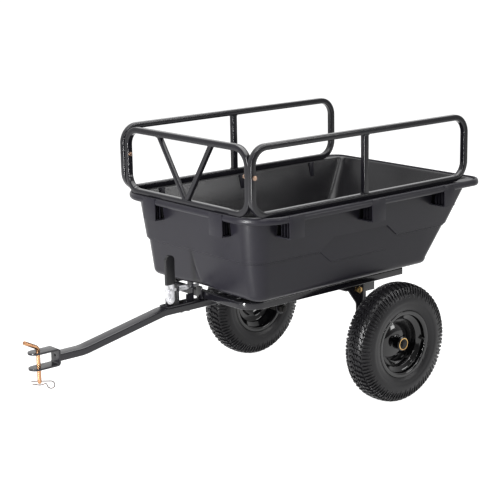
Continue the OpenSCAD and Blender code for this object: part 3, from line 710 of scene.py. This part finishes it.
build_side_rack("side_rack_left")
build_side_rack("side_rack_right")
build_front_rack()
softened("rack_corner_bolts", rose_zinc, 0.7)
softened("rack_corner_nuts", rose_zinc, 0.5)
softened("rack_screws", coat, 0.5)
softened("bin_bolts", dull_zinc, 0.5)

# ---------- drawbar and hitch ----------


def build_drawbar():
    low, high = node_box("drawbar")
    tall = 24
    z0, z1 = low.z + tall / 2, high.z - tall / 2
    radius = 150 + tall / 2
    bend0, bend1 = AXLE_Y - 1000, AXLE_Y - 690
    slope = math.atan2(z1 - z0, bend1 - bend0)
    reach = radius * math.tan(slope / 2)
    degrees = math.degrees(slope)
    path = [(0, low.y, z0)]
    path += arc_points((0, bend0 - reach, z0 + radius), (0, 0, -1), (0, 1, 0), radius, 0, degrees, 8)
    path += arc_points((0, bend1 + reach, z1 - radius), (0, 0, 1), (0, -1, 0), radius, degrees, 0, 8)
    path += [(0, high.y, z1)]
    verts, faces = tube_part(path, (1, 0, 0), tall, 44, 4.0)
    make_object("drawbar_look", verts, faces, coat, "chassis", ("drawbar",))


def build_pin():
    low, high = node_box("hitch_pin")
    r = 6.35
    y = high.y - r
    path = [(0, y, low.z), (0, y, low.z + 1.2), (0, y, low.z + 4), (0, y, low.z + 10), (0, y, 332)]
    radii = [3.6, 4.6, r, r, r]
    bend = 62
    radius = 16
    path += arc_points((0, y - radius, 337), (0, 1, 0), (0, 0, 1), radius, 0, bend, 10)
    radii += [r] * 11
    last = Vector(path[-1])
    along = Vector((0, -math.sin(math.radians(bend)), math.cos(math.radians(bend))))
    reach = (last.y - low.y - r * math.cos(math.radians(bend))) / -along.y
    for t, scale in ((0.9, 1.0), (0.97, 1.0), (1.0, 0.86)):
        path.append(last + along * (reach * t))
        radii.append(r * scale)
    verts, faces = wire_part(path, radii, 32)
    make_object("hitch_pin_look", verts, faces, pin_zinc, "pin", ("hitch_pin",))


def build_clip():
    y, z = AXLE_Y - 1155, 241
    u = Vector((math.cos(math.radians(50)), math.sin(math.radians(50)), 0))
    up = Vector((0, 0, 1))
    base = Vector((0, y, z))
    path = [base + u * a for a in (-25, -12, 0, 12, 24)]
    path += arc_points(base + u * 34 - up * 11.5, u, up, 11.5, 90, -170, 30)
    for a, b in ((21, -8.9), (17, -7.6), (12, -9.8), (7, -11.6), (0, -12.2), (-7, -11.6), (-13, -9.9),
                 (-18, -9.6), (-22, -12)):
        path.append(base + u * a + up * b)
    verts, faces = wire_part(path, 1.6, 12)
    make_object("r_clip_look", verts, faces, clip_wire, "clip", ("r_clip",))


build_drawbar()
softened("hitch_clevis", coat, 1.4, 3)
build_pin()
build_clip()

# ---------- chassis ----------

softened("cross_tube", coat, 1.6)
for name in ("gusset_plate", "axle_leg_left", "axle_leg_right", "latch_bracket"):
    softened(name, coat, 0.8)
for name in ("gusset_bolts", "pivot_washers"):
    softened(name, dull_zinc, 0.5)
for name in ("latch_pivot_bolt", "latch_cross_bolt"):
    softened(name, bright_zinc, 0.5)
softened("pivot_bolts", gold_zinc, 0.7)
for name in ("stub_axle_left", "stub_axle_right", "axle_spacers", "axle_nuts", "pivot_nuts",
             "latch_bracket_bolts"):
    softened(name, steel, 0.6)
softened("axle_clips", steel, 0.2)
softened("rest_pad", rubber, 1.2)
softened("latch_rod", bright_zinc, 0.6)
softened("latch_lever", bright_zinc, 0.8)
softened("lever_grip", vinyl, 3.6, 4)


def build_spring():
    low, high = node_box("latch_spring")
    cx, cz = (low.x + high.x) / 2, (low.z + high.z) / 2
    wire = 1.2
    r = (high.x - low.x) / 2 - wire
    turns, steps = 8, 24
    y0, y1 = low.y + wire, high.y - wire
    path = []
    for i in range(turns * steps + 1):
        t = i / (turns * steps)
        a = 2 * math.pi * turns * t
        ease = t - 0.035 * math.sin(2 * math.pi * t)
        path.append((cx + r * math.cos(a), lerp(y0, y1, ease), cz + r * math.sin(a)))
    verts, faces = wire_part(path, wire, 8)
    make_object("latch_spring_look", verts, faces, bright_zinc, "chassis", ("latch_spring",))


build_spring()

# ---------- wheels ----------

# Tyre section without its blocks, from the middle of the tread out to the bead: (x, r)
TYRE = [(0, 196.2), (10, 196.0), (20, 195.0), (29, 192.2), (37, 186.5), (42.5, 178.8), (46.5, 169.6),
        (49.3, 159), (50.6, 149), (50.7, 141.5), (49.9, 139.6), (49.6, 137), (48.4, 129), (46.4, 122),
        (45.6, 120.4), (45.0, 117.6), (44.4, 116.2), (43.2, 115.6), (41.2, 112), (40.6, 102.4)]
BLOCK_H = 6.2
# Radius at which lengths round the tread are measured
TREAD_R = 200


def tyre_curve():
    """The section as (length along it, x, r, outward direction x, outward direction r)."""
    out, length = [], 0.0
    for i, (x, r) in enumerate(TYRE):
        if i:
            length += math.dist(TYRE[i - 1], TYRE[i])
        a, b = TYRE[max(0, i - 1)], TYRE[min(len(TYRE) - 1, i + 1)]
        dx, dr = b[0] - a[0], b[1] - a[1]
        n = math.hypot(dx, dr)
        out.append((length, x, r, -dr / n, dx / n))
    out[0] = (0.0, 0, TYRE[0][1], 0.0, 1.0)
    return out


CURVE = tyre_curve()


def on_tyre(s, angle, height):
    """A point on the tyre: s along its section from the tread's middle, angle round it, height above it."""
    side = 1 if s >= 0 else -1
    s = abs(s)
    for a, b in zip(CURVE, CURVE[1:]):
        if s <= b[0]:
            break
    t = (s - a[0]) / (b[0] - a[0])
    x, r, nx, nr = (lerp(a[k], b[k], t) for k in (1, 2, 3, 4))
    x, r = (x + nx * height) * side, r + nr * height
    return x, r * math.cos(angle), r * math.sin(angle)


def block(outline, height, fade=None):
    """A tread block over an outline of (s, arc length) points, with drafted sides and a soft top edge.

    fade is (s where the height starts to drop, s where it is nearly nothing)."""
    cs = sum(p[0] for p in outline) / len(outline)
    ca = sum(p[1] for p in outline) / len(outline)
    rings = []
    for h, keep in ((-1.5, 1.06), (height * 0.72, 0.98), (height * 0.93, 0.93), (height, 0.83)):
        ring = []
        for s, arc in outline:
            at = cs + (s - cs) * keep
            drop = 0 if fade is None else min(1, max(0, (abs(at) - fade[0]) / (fade[1] - fade[0])))
            angle = (ca + (arc - ca) * keep) / TREAD_R
            ring.append(on_tyre(at, angle, h if h < 0 else h * (1 - 0.9 * drop)))
        rings.append(ring)
    return bridge(rings)


def build_tread():
    """Three rows of small blocks on each side of the middle, then ribs that run over the shoulder."""
    parts = []
    pitch_count = 62
    pitch = 2 * math.pi * TREAD_R / pitch_count
    for n in range(pitch_count):
        for side in (-1, 1):
            a = n * pitch + (0 if side > 0 else pitch / 2)
            inner = [(1.0, a - 4.5), (1.0, a + 4.0), (5.5, a + 6.5),
                     (9.6, a + 9.5), (9.6, a + 2.5), (5.2, a - 1.5)]
            middle = [(11.4, a - 3), (11.4, a + 5.5), (15.5, a + 9),
                      (19.4, a + 8.5), (19.4, a), (15.5, a - 0.5)]
            outer = [(21.4, a + 1), (21.4, a + 8.5), (26, a + 11.5),
                     (31.0, a + 14.5), (31.0, a + 7), (26, a + 3)]
            for outline, height in ((inner, 1.0), (middle, 0.93), (outer, 1.0)):
                parts.append(block([(side * s, t) for s, t in outline], BLOCK_H * height))
    ribs = 92
    for n in range(ribs):
        for side in (-1, 1):
            c = (n + (0.5 if side < 0 else 0)) * 2 * math.pi * TREAD_R / ribs
            start, end = 33.0 + 1.6 * (n % 2), 62 + 7 * (n % 2)
            rib = [(start, c), (start, c + 8.2), (38, c + 8.6), (43, c + 9.0), (48, c + 9.4), (55, c + 9.8),
                   (end, c + 9.6), (end + 2, c + 6.6), (end, c + 3.6), (55, c + 2.2), (48, c + 1.4),
                   (43, c + 0.8), (38, c + 0.3)]
            parts.append(block([(side * s, t) for s, t in rib], BLOCK_H * 0.92, (44, end + 2)))
    return join_parts(parts)


def tyre_body():
    mirrored = [(-x, r) for x, r in reversed(TYRE[1:])]
    inside = [(30, 102.4), (31, 110), (42, 124), (45, 150), (38, 177), (20, 190), (-20, 190), (-38, 177),
              (-45, 150), (-42, 124), (-31, 110), (-30, 102.4)]
    return lathe_part(mirrored + TYRE + inside, 144, (0, 0, 0))


def wheel_part(part, side):
    return moved(part, WHEEL.x, WHEEL.y, WHEEL.z, flip_x=side < 0)


def mirrored_section(points):
    """The same (x, r) points on the wheel's other side, in reverse order."""
    return [(-x, r) for x, r in reversed(points)]


def hub_ridges():
    """Four ridges round the hub tube, from its outer end inwards."""
    points = []
    for k in range(4):
        x = 36.8 - 6.6 * k
        points += [(x, 21.6), (x - 0.6, 23.4), (x - 3.4, 23.4), (x - 4.0, 21.6)]
    return points


# Rim section as (x, r): the barrel's outside, the inner barrel, the disc and its hub
BARREL = [(44.0, 110.2), (44.0, 112.4), (43.2, 113.6), (42.0, 113.8), (41.0, 112.6), (40.6, 110),
          (40.2, 104), (38.6, 102.1), (25.6, 102.0), (24.0, 101.0), (17.2, 86.0), (15.2, 84.2)]
BARREL_INSIDE = [(43.6, 103.5), (42.0, 100.2), (39.4, 99.0), (27.2, 98.9), (26.0, 98.0), (19.4, 83.4)]
DISC_BACK = [(-17.0, 81.2), (-8.6, 81.2), (-8.0, 80), (-8.0, 64), (-6.6, 60.5), (-2.0, 56.5), (2.6, 47),
             (3.6, 36), (3.6, 22), (-38.4, 21.6), (-39, 21), (-39, 17.6), (39, 17.6), (39, 21),
             (38.4, 21.6)]
DISC_FACE = [(8.4, 21.6), (7.2, 23.4), (6.8, 29), (5.9, 36), (4.5, 43), (2.6, 50), (0.2, 56.5), (-2.6, 62),
             (-4.6, 66), (-4.8, 79.4), (-4.2, 81.2), (17.0, 81.2)]
DISC_EDGE = [(19.4, 83.4), (22.4, 91.4), (23.6, 92.6), (25.0, 95), (26.0, 98.0), (27.2, 98.9),
             (39.4, 99.0), (42.0, 100.2), (43.6, 103.5)]
RIM_SECTION = (BARREL + mirrored_section(BARREL) + [(-x, r) for x, r in BARREL_INSIDE]
               + DISC_BACK + hub_ridges() + DISC_FACE + DISC_EDGE)


def build_hub(label, side):
    """Bearings with a thin bright outer lip round a darker inner race."""
    node = "hub_bearings_" + label
    low, high = node_box(node)
    half = (high.x - low.x) / 2
    outer = (high.z - low.z) / 2
    lips, races = [], []
    for end in (-1, 1):
        lip = [(half - 14, 15.2), (half - 14, 17.2), (half - 3.2, 17.2), (half - 3.0, outer - 0.5),
               (half - 2.4, outer), (half - 0.6, outer), (half, outer - 0.7), (half, outer - 3.0),
               (half - 0.8, outer - 3.4)]
        race = [(half - 14, 10.2), (half - 14, 15.0), (half - 1.6, outer - 3.3), (half - 1.2, outer - 3.6),
                (half - 0.8, 12.6), (half - 0.4, 11.8), (half - 0.4, 10.8), (half - 0.8, 10.2)]
        lips.append(lathe_part([(end * x, r) for x, r in lip], 64, (0, 0, 0)))
        races.append(lathe_part([(end * x, r) for x, r in race], 64, (0, 0, 0)))
    verts, faces = wheel_part(join_parts(lips), side)
    make_object(node + "_look", verts, faces, gold_zinc, "wheel_" + label, (node,), 30)
    verts, faces = wheel_part(join_parts(races), side)
    make_object("hub_races_" + label, verts, faces, steel, "wheel_" + label, (), 30)


def build_wheel(label, side):
    body = "wheel_" + label
    verts, faces = wheel_part(join_parts([tyre_body(), build_tread()]), side)
    make_object("tyre_%s_look" % label, verts, faces, tread_rubber, body,
                ("tyre_" + label,), 40)
    verts, faces = wheel_part(lathe_part(RIM_SECTION, 128, (0, 0, 0)), side)
    make_object("rim_%s_look" % label, verts, faces, rim_paint, body, ("rim_" + label,), 50)
    build_hub(label, side)
    softened("valve_" + label, rubber, 0.4)
    tube_materials = frame["nodes"]["inner_tube_" + label].data.materials
    tube_materials.clear()
    tube_materials.append(rubber)


build_wheel("left", 1)
build_wheel("right", -1)

# ---------- camera, floor and light ----------


def look_camera():
    camera = bpy.data.cameras.new("camera")
    camera.sensor_width = 36
    camera.lens = 101.3
    camera.clip_end = 60
    holder = bpy.data.objects.new("camera", camera)
    bpy.context.scene.collection.objects.link(holder)
    place = (3.51244, -2.87799, 1.59758)
    yaw, pitch, roll = math.radians(50.0), math.radians(13.37), math.radians(-1.07)
    turn = Matrix.Rotation(yaw, 4, "Z") @ Matrix.Rotation(math.pi / 2 - pitch, 4, "X")
    holder.matrix_world = Matrix.Translation(place) @ turn @ Matrix.Rotation(roll, 4, "Z")
    bpy.context.scene.camera = holder


def softbox(name, place, aim, size, power):
    """A rectangular lamp in metres and watts, turned to face aim."""
    light = bpy.data.lights.new(name, "AREA")
    light.shape = "RECTANGLE"
    light.size, light.size_y = size
    light.energy = power
    holder = bpy.data.objects.new(name, light)
    bpy.context.scene.collection.objects.link(holder)
    direction = Vector(aim) - Vector(place)
    turn = direction.to_track_quat("-Z", "Y").to_matrix().to_4x4()
    holder.matrix_world = Matrix.Translation(place) @ turn


def studio_world():
    """White backdrop. Its light is dimmer from below and from the side where the camera stands."""
    world = bpy.data.worlds.new("studio")
    bpy.context.scene.world = world
    world.use_nodes = True
    nodes, links = world.node_tree.nodes, world.node_tree.links
    back = nodes["Background"]
    back.inputs["Color"].default_value = (1, 1, 1, 1)
    place = nodes.new("ShaderNodeTexCoord")
    facing = nodes.new("ShaderNodeVectorMath")
    facing.operation = "DOT_PRODUCT"
    facing.inputs[1].default_value = (0.74, -0.62, 0.0)
    links.new(place.outputs["Generated"], facing.inputs[0])
    dim = nodes.new("ShaderNodeMapRange")
    dim.inputs["From Min"].default_value = -0.4
    dim.inputs["From Max"].default_value = 0.5
    dim.inputs["To Min"].default_value = 1.2
    dim.inputs["To Max"].default_value = 0.25
    links.new(facing.outputs["Value"], dim.inputs["Value"])
    axes = nodes.new("ShaderNodeSeparateXYZ")
    links.new(place.outputs["Generated"], axes.inputs["Vector"])
    low = nodes.new("ShaderNodeMapRange")
    low.inputs["From Min"].default_value = -0.5
    low.inputs["From Max"].default_value = 0.25
    low.inputs["To Min"].default_value = 0.30
    low.inputs["To Max"].default_value = 1.0
    links.new(axes.outputs["Z"], low.inputs["Value"])
    both = nodes.new("ShaderNodeMath")
    both.operation = "MULTIPLY"
    links.new(dim.outputs["Result"], both.inputs[0])
    links.new(low.outputs["Result"], both.inputs[1])
    seen = nodes.new("ShaderNodeLightPath")
    pick = nodes.new("ShaderNodeMix")
    links.new(seen.outputs["Is Camera Ray"], pick.inputs["Factor"])
    links.new(both.outputs["Value"], pick.inputs["A"])
    pick.inputs["B"].default_value = 1.1
    links.new(pick.outputs["Result"], back.inputs["Strength"])


def pale_floor():
    """A pale floor that shines evenly, like one lit from all round."""
    floor = bpy.data.materials.new("floor")
    floor.use_nodes = True
    shader = floor.node_tree.nodes["Principled BSDF"]
    shader.inputs["Base Color"].default_value = grey(0.2)
    shader.inputs["Roughness"].default_value = 0.9
    shader.inputs["Specular IOR Level"].default_value = 0.2
    shader.inputs["Emission Color"].default_value = grey(1)
    shader.inputs["Emission Strength"].default_value = 1.0
    half = 4
    corners = [(-half, -half, 0), (half, -half, 0), (half, half, 0), (-half, half, 0)]
    mesh = bpy.data.meshes.new("floor")
    mesh.from_pydata(corners, [], [(0, 1, 2, 3)])
    mesh.materials.append(floor)
    plane = bpy.data.objects.new("floor", mesh)
    bpy.context.scene.collection.objects.link(plane)


look_camera()
studio_world()
pale_floor()
bpy.context.scene.view_settings.view_transform = "Standard"
bpy.context.scene.view_settings.look = "None"
softbox("ahead", (0.50, -1.95, 0.75), (0.25, -0.3, 0.6), (0.20, 1.4), 95)
softbox("front", (2.65, -2.0, 2.8), (-0.2, 0.6, 0.6), (0.35, 1.3), 34)
softbox("right", (3.45, 2.5, 1.3), (0.33, 0.385, 0.2), (0.9, 0.9), 26)
softbox("window", (3.4, 0.4, 2.6), (0.4, 0.2, 0.3), (0.6, 0.6), 24)
softbox("top", (0.0, 0.4, 4.2), (0, 0.2, 0), (5.0, 5.0), 330)
